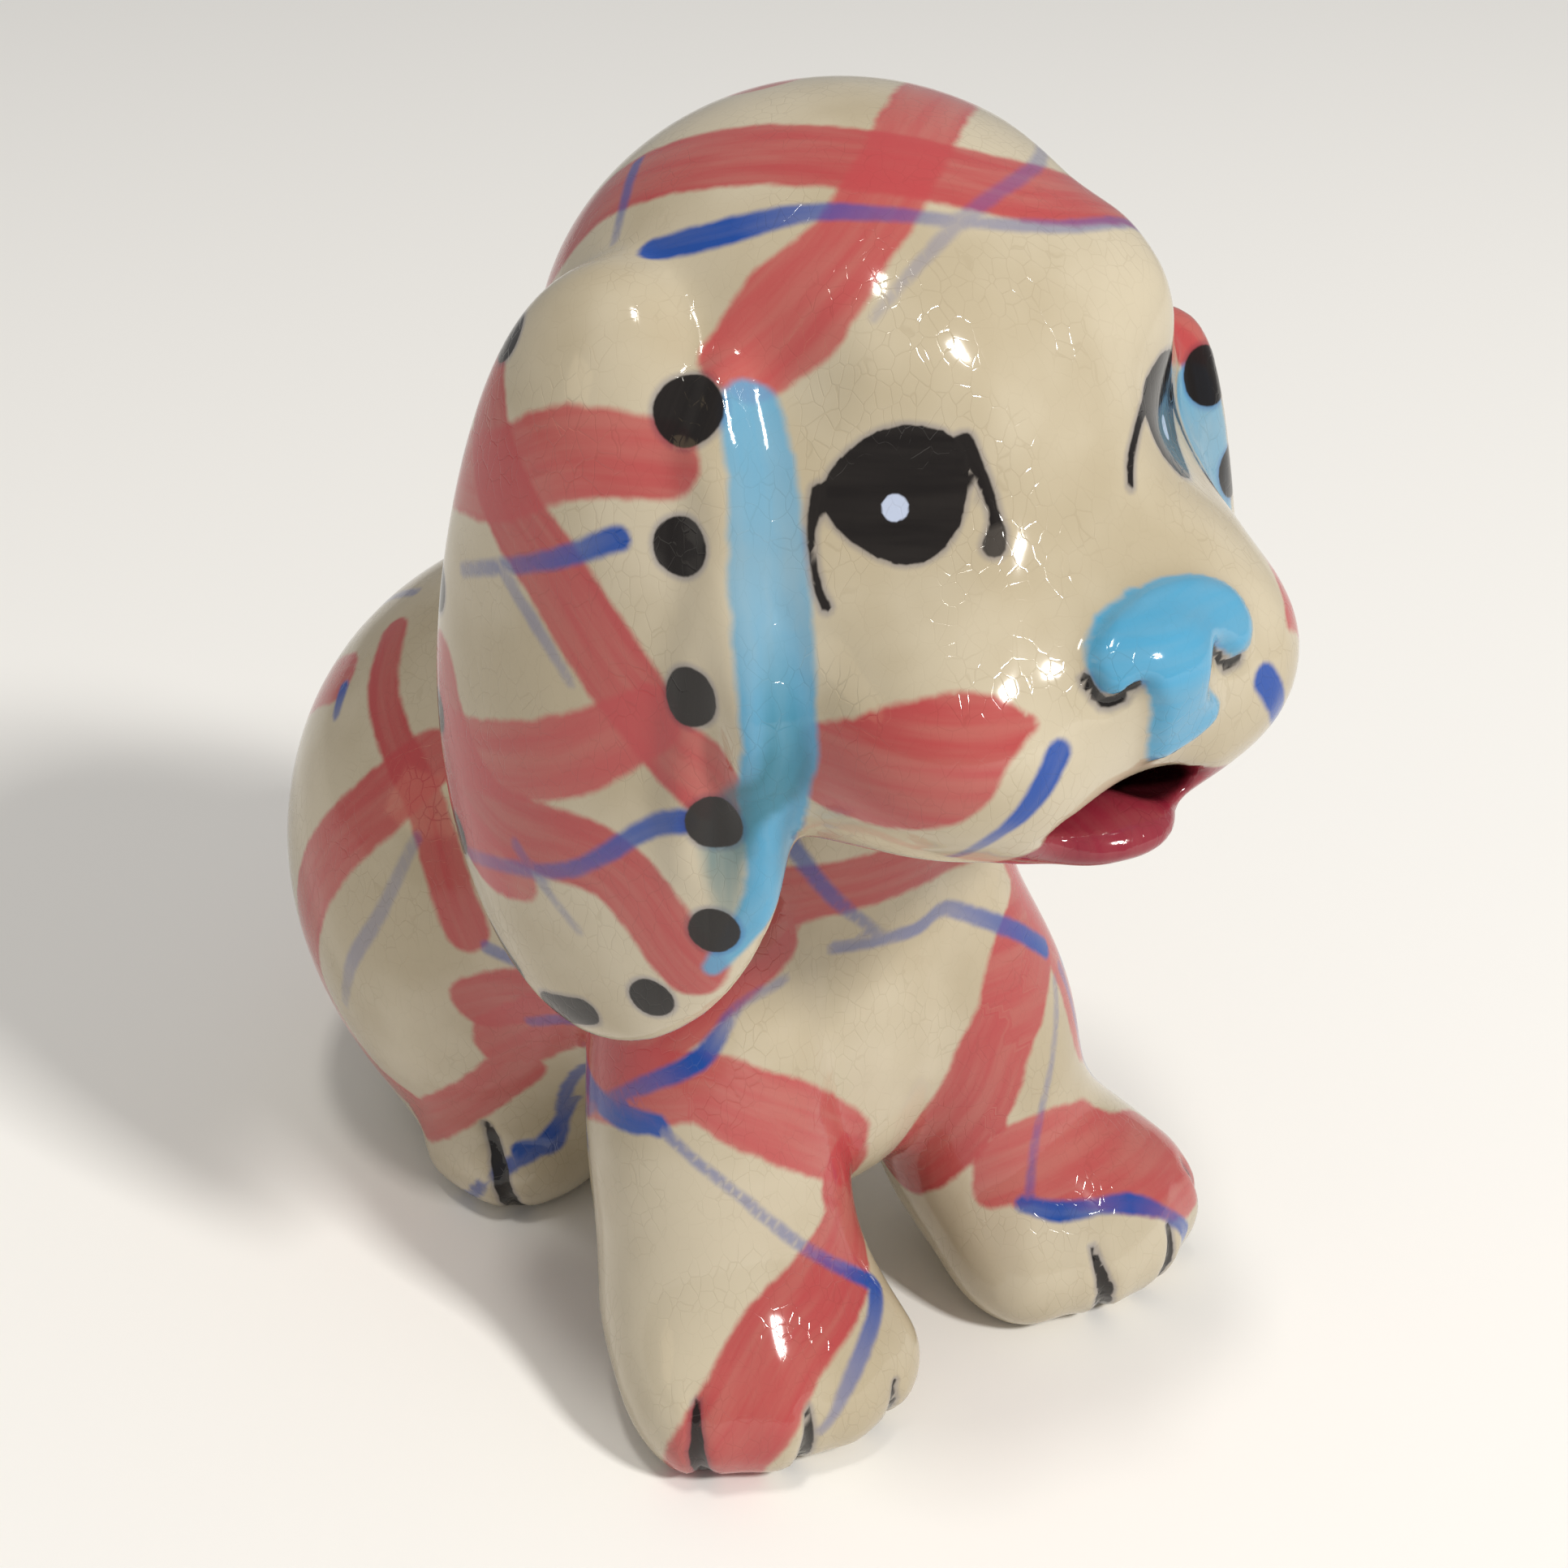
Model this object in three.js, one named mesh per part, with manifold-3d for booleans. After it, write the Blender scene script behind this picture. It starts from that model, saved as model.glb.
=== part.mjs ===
// A glazed earthenware puppy money box, in millimetres: +Z up, the puppy facing -Y, its right side at -X.
// It is slip-cast as separate hollow castings that are luted together, and closed below by a soft plug.
// Each casting is a sphere wrapped on to a clay form: a smooth union of ellipsoid lumps.
import * as THREE from "three";
import { mergeVertices } from "three/addons/utils/BufferGeometryUtils.js";
import Module from "manifold-3d";

const wasm = await Module();
wasm.setup();

// ---- Driving dimensions -------------------------------------------------------------------------
const WALL = 4.5; // thickness of the slip-cast walls
const SLIP_GAP = 0.3; // clearance between two castings before the slip fills it

const HEAD_AT = [0, -29, 119.5]; // centre of the skull
const SKULL = [32.5, 34.5, 33.5]; // half width, half length, half height of the skull
const MUZZLE_LENGTH = 50; // from the skull's centre to the front of the muzzle
const NECK_BORE = 13; // radius of the passage between the head and the body

const BODY_AT = [0, 32, 41]; // centre of the rump
const RUMP = [38, 36.5, 41]; // half width, half length, half height of the rump
const VENT = 5; // radius of the air holes from the body into the forelegs

const PAW_X = 24; // half the distance between the front paws
const PAW_Y = -38; // where the paws stand
const STANCE = 3.5; // how far both paws stand to the puppy's left

const EAR_OUT = 5; // from the side of the skull out to the middle of an ear
const EAR_FORWARD = 4; // from the middle of the skull forward to the middle of an ear
const EAR_DROP = 18.5; // from the middle of the skull down to the middle of an ear
const EAR_LENGTH = 82; // from the root of the ear to its tip
const EAR_WIDTH = 51; // across the widest part of the ear
const EAR_ROOT = 39; // across the root of the ear
const EAR_THICK = 8.5; // thickness of the ear
const EAR_ROOT_THICK = 22; // thickness of its root, which swells out of the head
const EAR_TURN = 16; // how far the ears face the front, in degrees
const EAR_LEAN = 1; // how far the ear's tip swings ahead of its middle
const EAR_CURL = 55; // radius that an ear is curved to, round the head
const EAR_BOW = 3; // how far the root and the tip bend in behind the middle of the ear
const EAR_SLOPE = 4; // how much further in the root lies than the tip does, halved

const SLOT_LENGTH = 37; // coin slot along the back
const SLOT_WIDTH = 5;
const SLOT_Y = 31; // middle of the coin slot

const HOLE_RADIUS = 16; // opening for the plug in the underside
const HOLE_Y = 32; // middle of the opening
const RECESS = 4; // depth of the underside inside its foot ring
const PLUG_FIT = 0.3; // clearance between the plug and the edge of its hole
const FLANGE_LAP = 2.5; // how far the plug's flange laps the edge of its hole
const FLANGE_ROOM = 1.5; // clearance round the flange, inside the foot ring
const FLANGE_THICK = 2.4;
const RIB = 0.6; // height of the sealing ribs round the plug

// ---- Clay forms -----------------------------------------------------------------------------------
// A lump of clay: an ellipsoid at a point, turned by three angles in degrees, with a blend width.
function lump(at, radii, blend, turn = [0, 0, 0]) {
  const angles = turn.map(THREE.MathUtils.degToRad);
  const inverse = new THREE.Matrix4()
    .makeRotationFromEuler(new THREE.Euler(...angles))
    .setPosition(...at)
    .invert();
  return { inverse, radii: new THREE.Vector3(...radii), blend };
}

// The same lump on both sides of the puppy.
function pair(at, radii, blend, turn = [0, 0, 0]) {
  const mirrored = [turn[0], -turn[1], -turn[2]];
  return [lump(at, radii, blend, turn), lump([-at[0], at[1], at[2]], radii, blend, mirrored)];
}

const local = new THREE.Vector3();
const scaled = new THREE.Vector3();
function lumpDistance(l, p) {
  local.copy(p).applyMatrix4(l.inverse);
  scaled.copy(local).divide(l.radii);
  const k0 = scaled.length();
  const k1 = scaled.divide(l.radii).length();
  return k1 < 1e-9 ? -Math.min(...l.radii.toArray()) : (k0 * (k0 - 1)) / k1;
}

// Signed distance to a form, near its surface: lumps are added, then presses are taken away.
function form(lumps, presses = []) {
  return (p) => {
    let d = lumpDistance(lumps[0], p);
    for (const l of lumps.slice(1)) {
      const e = lumpDistance(l, p);
      const h = Math.max(l.blend - Math.abs(d - e), 0) / l.blend;
      d = Math.min(d, e) - (h * h * l.blend) / 4;
    }
    for (const l of presses) {
      const e = -lumpDistance(l, p);
      const h = Math.max(l.blend - Math.abs(d - e), 0) / l.blend;
      d = Math.max(d, e) + (h * h * l.blend) / 4;
    }
    return d;
  };
}

// A sphere whose points are moved on to the form along rays that leave a spine. A positive offset grows
// the form. A negative one makes a hollow's skin, found from the inside so that thin places stay solid.
function wrap(shape, spine, detail, offset = 0, reach = 120) {
  const sphere = new THREE.IcosahedronGeometry(1, detail);
  sphere.deleteAttribute("normal");
  sphere.deleteAttribute("uv");
  const skin = mergeVertices(sphere, 1e-4);
  const [from, to] = spine.map((s) => new THREE.Vector3(...s));
  const middle = from.clone().add(to).multiplyScalar(0.5);
  const halfSpine = to.clone().sub(from).multiplyScalar(0.5);
  const axis = halfSpine.clone().normalize();
  const place = skin.getAttribute("position");
  const way = new THREE.Vector3();
  const origin = new THREE.Vector3();
  const p = new THREE.Vector3();
  const outwards = offset < 0;
  for (let i = 0; i < place.count; i++) {
    way.fromBufferAttribute(place, i).normalize();
    origin.copy(middle).addScaledVector(halfSpine, way.dot(axis));
    let t = outwards ? 0 : reach;
    for (let n = 0; n < 400; n++) {
      p.copy(origin).addScaledVector(way, t);
      const d = (shape(p) - offset) * (outwards ? -1 : 1);
      if (d < 0.01) break;
      t += (outwards ? 1 : -1) * Math.max(d * 0.7, 0.01);
    }
    place.setXYZ(i, p.x, p.y, p.z);
  }
  return skin;
}

// ---- Solids ---------------------------------------------------------------------------------------
function solid(geometry) {
  const bare = geometry.clone();
  bare.deleteAttribute("normal");
  bare.deleteAttribute("uv");
  const merged = mergeVertices(bare, 1e-3);
  return new wasm.Manifold(
    new wasm.Mesh({
      numProp: 3,
      vertProperties: merged.getAttribute("position").array,
      triVerts: new Uint32Array(merged.index.array),
    }),
  );
}

function geometryOf(body) {
  const mesh = body.getMesh();
  return new THREE.BufferGeometry()
    .setAttribute("position", new THREE.BufferAttribute(mesh.vertProperties, 3))
    .setIndex(new THREE.BufferAttribute(mesh.triVerts, 1))
    .toNonIndexed();
}

// An upright cylinder from one height to another.
function post(x, y, low, high, radius, sides = 32) {
  return solid(
    new THREE.CylinderGeometry(radius, radius, high - low, sides)
      .rotateX(Math.PI / 2)
      .translate(x, y, (low + high) / 2),
  );
}

function slab(low, high) {
  const size = high.map((h, i) => h - low[i]);
  const middle = high.map((h, i) => (h + low[i]) / 2);
  return solid(new THREE.BoxGeometry(...size).translate(...middle));
}

function ellipsoid(at, radii, detail) {
  return solid(new THREE.IcosahedronGeometry(1, detail).scale(...radii).translate(...at));
}

// Everything below a height.
const below = (height) => slab([-200, -200, -100], [200, 200, height]);

// ---- Forms of the puppy ------------------------------------------------------------------------
const [, hy, hz] = HEAD_AT;
const noseY = hy - MUZZLE_LENGTH;
const NECK_AT = [0, hy + 13, hz - 41.5];
const FLANGE_RADIUS = HOLE_RADIUS + FLANGE_LAP;
const RECESS_RADIUS = FLANGE_RADIUS + FLANGE_ROOM;

const headForm = form([
  lump(HEAD_AT, SKULL, 1),
  lump([0, hy + 7, hz + 7], [29, 26, 24.5], 6),
  lump([0, hy - 20, hz - 12], [24, 20, 18], 14),
  ...pair([17, hy - 14, hz - 20.5], [13.5, 18, 14], 12),
  ...pair([10.5, noseY + 17, hz - 17], [16, 15, 14.5], 8),
  lump([0, noseY + 18, hz - 27.5], [11, 12, 7], 6),
]);

const bodyForm = form([
  lump(BODY_AT, RUMP, 1),
  lump([0, -11, 56], [26, 26, 32], 18),
  lump(NECK_AT, [20, 20, 18], 14),
  lump([1, -21, 37], [17, 16, 19], 12),
  ...pair([21, 27, 32], [16, 22, 27], 10),
  lump([0, 33, 8], [28, 29, 15], 8),
  ...pair([21, 17, 6], [9, 13, 9], 6),
  lump([0, 66, 22], [6, 6, 12], 5, [-25, 0, 0]),
]);

// The legs lean, so that the paws stand further to the puppy's left than its shoulders.
function legForm(side) {
  const at = (x, y, z, lean) => [side * (PAW_X + x) + lean * STANCE, PAW_Y + y, z];
  const toe = (x, y) => lump(at(x, y, 8, 1), [5.5, 9, 8.5], 3);
  return form([
    lump(at(-11, 16, 54, -0.5), [13, 15, 24], 1),
    lump(at(-4.5, 10, 28, 0), [13.5, 13.5, 22], 14),
    lump(at(0, 2, 10, 1), [15.5, 16, 12], 10),
    toe(11.5, -3),
    toe(4, -7),
    toe(-4, -7),
    toe(-11.5, -4),
  ]);
}

// An ear: a leaf with a round rim that is wide below and narrow at its root, curved round the head.
function earGeometry(side) {
  const sphere = new THREE.IcosahedronGeometry(1, 7);
  const place = sphere.getAttribute("position");
  const turn = THREE.MathUtils.degToRad(side * EAR_TURN);
  const p = new THREE.Vector3();
  for (let i = 0; i < place.count; i++) {
    p.fromBufferAttribute(place, i);
    const radial = Math.hypot(p.y, p.z);
    const spread = radial > 1e-6 ? radial ** -0.25 : 0;
    const up = p.z * spread;
    const rootwards = THREE.MathUtils.smoothstep(up, -0.7, 0.7);
    const width = THREE.MathUtils.lerp(EAR_WIDTH, EAR_ROOT, rootwards);
    const along = (p.y * spread * width) / 2;
    const swell = THREE.MathUtils.lerp(EAR_THICK, EAR_ROOT_THICK, THREE.MathUtils.smoothstep(up, 0.1, 1));
    const thick = (Math.sign(p.x) * Math.abs(p.x) ** 0.7 * swell) / 2;
    const inwards =
      (along * along) / (2 * EAR_CURL) + EAR_BOW * up * up + EAR_SLOPE * up + (swell - EAR_THICK) / 4;
    p.set(thick - side * inwards, along + EAR_LEAN * up, (up * EAR_LENGTH) / 2);
    p.applyAxisAngle(new THREE.Vector3(0, 0, 1), -turn);
    place.setXYZ(i, p.x + side * (SKULL[0] + EAR_OUT), p.y + hy - EAR_FORWARD, p.z + hz - EAR_DROP);
  }
  return sphere;
}

// The soft plug: a flange under the floor, a ribbed sleeve through its hole, and a pull tab.
function plugSolid() {
  const r = HOLE_RADIUS - PLUG_FIT;
  const top = RECESS + WALL + 3;
  const face = RECESS - PLUG_FIT;
  const sleeve = new THREE.LatheGeometry(
    [
      [0, face - FLANGE_THICK],
      [FLANGE_RADIUS - 0.8, face - FLANGE_THICK],
      [FLANGE_RADIUS, face - FLANGE_THICK / 2],
      [FLANGE_RADIUS - 0.8, face],
      [r - RIB, face],
      [r - RIB, face + 1],
      [r, face + 2],
      [r - RIB, face + 3],
      [r - RIB, face + 4],
      [r, face + 5],
      [r - 1.4, top],
      [r - 3, top],
      [r - 3, face + 0.6],
      [0, face + 0.6],
    ].map(([x, y]) => new THREE.Vector2(x, y)),
    28,
  ).rotateX(Math.PI / 2);
  const tab = new THREE.BoxGeometry(9, 2, 1.6).translate(0, 0, face - FLANGE_THICK - 0.4);
  return solid(sleeve).add(solid(tab)).translate([0, HOLE_Y, 0]);
}

// ---- Castings --------------------------------------------------------------------------------------
const HEAD_DETAIL = 11;
const BODY_DETAIL = 10;
const LEG_DETAIL = 7;
const HOLLOW_DETAIL = 4;
const HEAD_SPINE = [HEAD_AT, [0, hy - 16, hz - 10]];
const BODY_SPINE = [[0, 30, 40], [0, -10, 56]];
const headSkin = solid(wrap(headForm, HEAD_SPINE, HEAD_DETAIL));
const headGrown = solid(wrap(headForm, HEAD_SPINE, HEAD_DETAIL, SLIP_GAP));
const headHollow = solid(wrap(headForm, HEAD_SPINE, HOLLOW_DETAIL, -WALL));
const bodySkin = solid(wrap(bodyForm, BODY_SPINE, BODY_DETAIL)).subtract(below(0));
const bodyGrown = solid(wrap(bodyForm, BODY_SPINE, BODY_DETAIL, SLIP_GAP));
const bodyHollow = solid(wrap(bodyForm, BODY_SPINE, HOLLOW_DETAIL, -WALL)).subtract(below(RECESS + WALL));
const neckBore = post(0, hy + 8, hz - 60, hz - 20, NECK_BORE);
const nose = ellipsoid([0, noseY + 2, hz - 9], [8, 5, 6], 3);
const mouth = ellipsoid([0, noseY + 8, hz - 25], [11, 9, 2.2], 3);
const tongue = ellipsoid([0, noseY + 11, hz - 28.5], [9, 10, 3.4], 3);

const GLAZE = 0xe6dcc4;
const parts = {};
function addPart(name, body, color = GLAZE, roughness = 0.15) {
  parts[name] = { body, color, roughness };
}

addPart("head_shell", headSkin.add(nose).subtract(mouth).add(tongue).subtract(headHollow).subtract(neckBore));
let shell = bodySkin
  .subtract(bodyHollow)
  .subtract(headGrown)
  .subtract(post(0, HOLE_Y, -1, RECESS, RECESS_RADIUS))
  .subtract(post(0, HOLE_Y, -1, RECESS + WALL + 2, HOLE_RADIUS))
  .subtract(
    slab(
      [-SLOT_WIDTH / 2, SLOT_Y - SLOT_LENGTH / 2, BODY_AT[2] + 10],
      [SLOT_WIDTH / 2, SLOT_Y + SLOT_LENGTH / 2, BODY_AT[2] + RUMP[2] + 10],
    ),
  );
for (const [name, side] of [["right", -1], ["left", 1]]) {
  const shoulder = [side * (PAW_X - 11) - STANCE / 2, PAW_Y + 16, 56];
  const spine = [shoulder, [side * PAW_X + STANCE, PAW_Y + 2, 10]];
  const hollow = solid(wrap(legForm(side), spine, HOLLOW_DETAIL - 1, -WALL)).subtract(below(WALL));
  const leg = solid(wrap(legForm(side), spine, LEG_DETAIL)).subtract(below(0));
  addPart(name + "_foreleg", leg.subtract(hollow).subtract(bodyGrown));
  addPart(name + "_ear", solid(earGeometry(side)).subtract(headGrown));
  const vent = new THREE.CylinderGeometry(VENT, VENT, 30, 24).translate(shoulder[0], PAW_Y + 19, 50);
  shell = shell.subtract(solid(vent));
}
addPart("body_shell", shell);
addPart("stopper", plugSolid(), 0xd8d2c2, 0.6);

const dog = new THREE.Group();
for (const [name, { body, color, roughness }] of Object.entries(parts)) {
  const material = new THREE.MeshStandardMaterial({ color, roughness, metalness: 0 });
  const mesh = new THREE.Mesh(geometryOf(body), material);
  mesh.name = name;
  dog.add(mesh);
}
const box = new THREE.Box3().setFromObject(dog);
dog.position.set(-(box.min.x + box.max.x) / 2, -(box.min.y + box.max.y) / 2, 0);
export default dog;
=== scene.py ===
"""A hand-painted, glazed earthenware puppy money box: a fine surface and paint over its CAD castings."""

import math

import bmesh
import bpy
import numpy as np
from mathutils import Matrix, Vector
from mathutils.bvhtree import BVHTree


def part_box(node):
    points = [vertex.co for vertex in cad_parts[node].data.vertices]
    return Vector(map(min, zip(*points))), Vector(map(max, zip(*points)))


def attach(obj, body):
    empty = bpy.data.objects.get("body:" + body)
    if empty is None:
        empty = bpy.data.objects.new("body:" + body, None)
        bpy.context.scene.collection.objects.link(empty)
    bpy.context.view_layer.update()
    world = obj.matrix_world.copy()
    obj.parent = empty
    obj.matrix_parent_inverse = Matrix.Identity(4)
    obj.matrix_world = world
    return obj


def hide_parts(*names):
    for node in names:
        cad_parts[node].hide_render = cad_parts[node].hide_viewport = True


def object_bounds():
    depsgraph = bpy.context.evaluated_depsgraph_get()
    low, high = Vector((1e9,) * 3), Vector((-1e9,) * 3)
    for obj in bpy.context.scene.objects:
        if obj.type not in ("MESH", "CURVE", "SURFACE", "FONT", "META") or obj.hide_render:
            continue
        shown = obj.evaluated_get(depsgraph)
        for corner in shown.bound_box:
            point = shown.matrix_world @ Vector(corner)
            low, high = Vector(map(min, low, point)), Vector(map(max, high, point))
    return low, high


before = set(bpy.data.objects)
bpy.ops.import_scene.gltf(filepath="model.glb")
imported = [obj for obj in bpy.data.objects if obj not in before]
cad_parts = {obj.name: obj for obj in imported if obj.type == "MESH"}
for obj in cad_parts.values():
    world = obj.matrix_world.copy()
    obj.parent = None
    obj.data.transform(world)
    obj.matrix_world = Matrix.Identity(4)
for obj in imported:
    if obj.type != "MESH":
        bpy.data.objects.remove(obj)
cad_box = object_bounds()

# ---- Sizes, in millimetres ----------------------------------------------------------------------
MM = 0.001
HEAD_GRID = 0.82  # spacing of the fine surface on the head
BODY_GRID = 1.0  # and on the body
SLIP = 0.45  # how far the ears and legs swell, to close the joints that slip fills
SAME_CORNER = 0.002  # corners of a casting nearer than this are one
COIL_STEP = 1.0  # between the balls of a coil of clay
BRUSH_STEP = 0.45  # between the points that a brush stroke is measured from
FAR = 3.5  # how far past a brush stroke its distance is kept
BRISTLE_SHIFT = 31  # sets the bristles of one stroke apart from those of the last
OUTSIDE = 200  # how far off a place is looked for from, well clear of the puppy
RUMP_DEPTH = 41.5  # from the back of the body to the middle of the rump
RUMP_HEIGHT = 41
HEAD_PASSES, HEAD_LAST_PASSES = 14, 2  # of smoothing, before and after the modelling
BODY_PASSES, BODY_LAST_PASSES = 16, 1
HOLLOW_PASSES = 60  # of smoothing, to find what is hollow
LEFT, RIGHT = 1, -1  # the puppy's sides, along +X and -X


# ---- Places on the castings ----------------------------------------------------------------------
def skin_of(node):
    """A CAD node's surface in millimetres, for finding places on it."""
    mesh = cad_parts[node].data
    corners = [v.co / MM for v in mesh.vertices]
    return BVHTree.FromPolygons(corners, [tuple(p.vertices) for p in mesh.polygons])


HEAD_NODES = ("head_shell", "left_ear", "right_ear")
BODY_NODES = ("body_shell", "left_foreleg", "right_foreleg")
SKINS = {node: skin_of(node) for node in HEAD_NODES + BODY_NODES}
BOXES = {node: tuple(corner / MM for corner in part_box(node)) for node in HEAD_NODES + BODY_NODES}
MIDDLES = {node: (low + high) / 2 for node, (low, high) in BOXES.items()}
HEAD = MIDDLES["head_shell"]
RUMP = Vector((HEAD.x, BOXES["body_shell"][1].y - RUMP_DEPTH, RUMP_HEIGHT))


def cast(node, target, way):
    """Where a ray from far outside meets a node's surface on its way to a target."""
    way = Vector(way).normalized()
    found = SKINS[node].ray_cast(target + way * OUTSIDE, -way)[0]
    return found or SKINS[node].find_nearest(target)[0]


def sphere_way(turn, rise):
    """A direction: turned from the front towards the puppy's left, then raised, in degrees."""
    turn, rise = math.radians(turn), math.radians(rise)
    return math.sin(turn) * math.cos(rise), -math.cos(turn) * math.cos(rise), math.sin(rise)


def head(turn, rise):
    """A place on the head, seen from its middle."""
    return cast("head_shell", HEAD, sphere_way(turn, rise))


def rump(turn, rise):
    """A place on the body, seen from the middle of the rump."""
    return cast("body_shell", RUMP, sphere_way(turn, rise))


def chest(x, height):
    """A place on the front of the body."""
    return cast("body_shell", Vector((x, HEAD.y, height)), (0, -1, 0))


def ear(side, forward, up):
    """A place on an ear's outer face, forward of and above its middle."""
    node = "left_ear" if side == LEFT else "right_ear"
    return cast(node, MIDDLES[node] + Vector((0, -forward, up)), (side, 0, 0))


def leg(side, turn, height):
    """A place on a foreleg, turned from the front towards the puppy's left."""
    node = "left_foreleg" if side == LEFT else "right_foreleg"
    return cast(node, Vector((MIDDLES[node].x, MIDDLES[node].y, height)), sphere_way(turn, 0))


# ---- Clay: a fine surface over several castings ------------------------------------------------
def add_coil(clay, places, radii):
    """Lays a coil of clay, as balls that overlap, along places on the castings."""
    for place, radius in zip(*even_steps(places, radii, COIL_STEP)):
        bmesh.ops.create_icosphere(
            clay, subdivisions=2, radius=radius * MM, matrix=Matrix.Translation(Vector(place) * MM)
        )


def even_steps(places, values, step):
    """Points along a smooth curve through places, about a step apart, and values to go with them."""
    places = np.array([tuple(p) for p in places], float)
    values = np.array(values, float)
    if len(places) == 1:
        return places, values
    padded = np.vstack((2 * places[0] - places[1], places, 2 * places[-1] - places[-2]))
    out, out_values = [], []
    for i in range(len(places) - 1):
        p0, p1, p2, p3 = padded[i : i + 4]
        count = max(2, math.ceil(np.linalg.norm(p2 - p1) / step))
        for t in np.arange(count) / count:
            out.append(
                0.5 * (2 * p1 + (p2 - p0) * t + (2 * p0 - 5 * p1 + 4 * p2 - p3) * t**2
                       + (3 * p1 - p0 - 3 * p2 + p3) * t**3)
            )
            out_values.append(values[i] * (1 - t) + values[i + 1] * t)
    out.append(places[-1])
    out_values.append(values[-1])
    return np.array(out), np.array(out_values)


def fine_surface(name, nodes, grown, coils, grid):
    """One closed surface on a fine grid over CAD nodes, some of them grown to close their joints."""
    clay = bmesh.new()
    for node in nodes:
        casting = bmesh.new()
        casting.from_mesh(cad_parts[node].data)
        bmesh.ops.remove_doubles(casting, verts=casting.verts, dist=SAME_CORNER * MM)
        casting.normal_update()
        if node in grown:
            for v in casting.verts:
                v.co += v.normal * SLIP * MM
        merged = bpy.data.meshes.new(node + "_merged")
        casting.to_mesh(merged)
        casting.free()
        clay.from_mesh(merged)
        bpy.data.meshes.remove(merged)
    for places, radii in coils:
        add_coil(clay, places, radii)
    rough = bpy.data.meshes.new(name + "_clay")
    clay.to_mesh(rough)
    clay.free()
    piece = bpy.data.objects.new(name, rough)
    bpy.context.scene.collection.objects.link(piece)
    remesh = piece.modifiers.new("grid", "REMESH")
    remesh.mode = "VOXEL"
    remesh.voxel_size = grid * MM
    graph = bpy.context.evaluated_depsgraph_get()
    fine = bpy.data.meshes.new_from_object(piece.evaluated_get(graph))
    piece.modifiers.clear()
    piece.data = fine
    fine.name = name
    fine.materials.clear()
    bpy.data.meshes.remove(rough)
    return piece


class Surface:
    """A piece's vertices in millimetres, for sculpting and painting."""

    def __init__(self, piece):
        self.mesh = piece.data
        count = len(self.mesh.vertices)
        flat = np.empty(count * 3)
        self.mesh.vertices.foreach_get("co", flat)
        self.at = flat.reshape(-1, 3) / MM
        edges = np.empty(len(self.mesh.edges) * 2, np.int64)
        self.mesh.edges.foreach_get("vertices", edges)
        self.edges = edges.reshape(-1, 2)
        self.degree = np.bincount(edges, minlength=count)[:, None]
        self.update()

    def update(self):
        """Writes the vertices back to the mesh and reads its new normals."""
        self.mesh.vertices.foreach_set("co", (self.at * MM).ravel())
        self.mesh.update()
        flat = np.empty(len(self.at) * 3, np.float32)
        self.mesh.vertex_normals.foreach_get("vector", flat)
        self.normal = flat.reshape(-1, 3).astype(float)

    def averaged(self, values):
        """Each vertex's mean of its neighbours' values."""
        a, b = self.edges.T
        total = np.empty_like(values)
        for k in range(values.shape[1]):
            total[:, k] = np.bincount(a, values[b, k], len(values))
            total[:, k] += np.bincount(b, values[a, k], len(values))
        return total / self.degree

    def smooth(self, passes, weight=None):
        """Relaxes the surface, all of it or by a weight for each vertex."""
        share = 0.5 if weight is None else 0.5 * weight[:, None]
        for _ in range(passes):
            self.at += (self.averaged(self.at) - self.at) * share
        self.update()

    def tree(self):
        """For finding places on the surface."""
        corners = [Vector(v) for v in self.at]
        return BVHTree.FromPolygons(corners, [tuple(p.vertices) for p in self.mesh.polygons])

    def push(self, place, radius, depth):
        """Pushes a soft-edged dent in at a place, or a swelling out when depth is negative."""
        reach = np.linalg.norm(self.at - np.array(place), axis=1) / radius
        outer = self.normal @ self.normal[reach.argmin()] > 0  # leaves the wall's inner face where it is
        amount = depth * np.clip(1 - reach**2, 0, 1) ** 2 * outer
        self.at -= amount[:, None] * self.normal

    def pull(self, place, radius, shift):
        """Pulls the surface round a place by a shift that dies away."""
        reach = np.linalg.norm(self.at - np.array(place), axis=1) / radius
        self.at += (np.clip(1 - reach**2, 0, 1) ** 2)[:, None] * np.array(shift)

    def swell(self, stroke, height, edge):
        """Raises the surface under a stroke by a height, or cuts a groove when it is negative."""
        near, inside, *_ = stroke.measure(self, edge * 2)
        profile = np.clip(0.5 - inside / (2 * edge), 0, 1)
        profile = profile * profile * (3 - 2 * profile)
        self.at[near] += self.normal[near] * (height * profile)[:, None]

    def hollowness(self, passes):
        """How far each vertex lies below the surface round it, in millimetres."""
        relaxed = self.at.copy()
        for _ in range(passes):
            relaxed += (self.averaged(relaxed) - relaxed) * 0.5
        return ((relaxed - self.at) * self.normal).sum(1)


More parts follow.
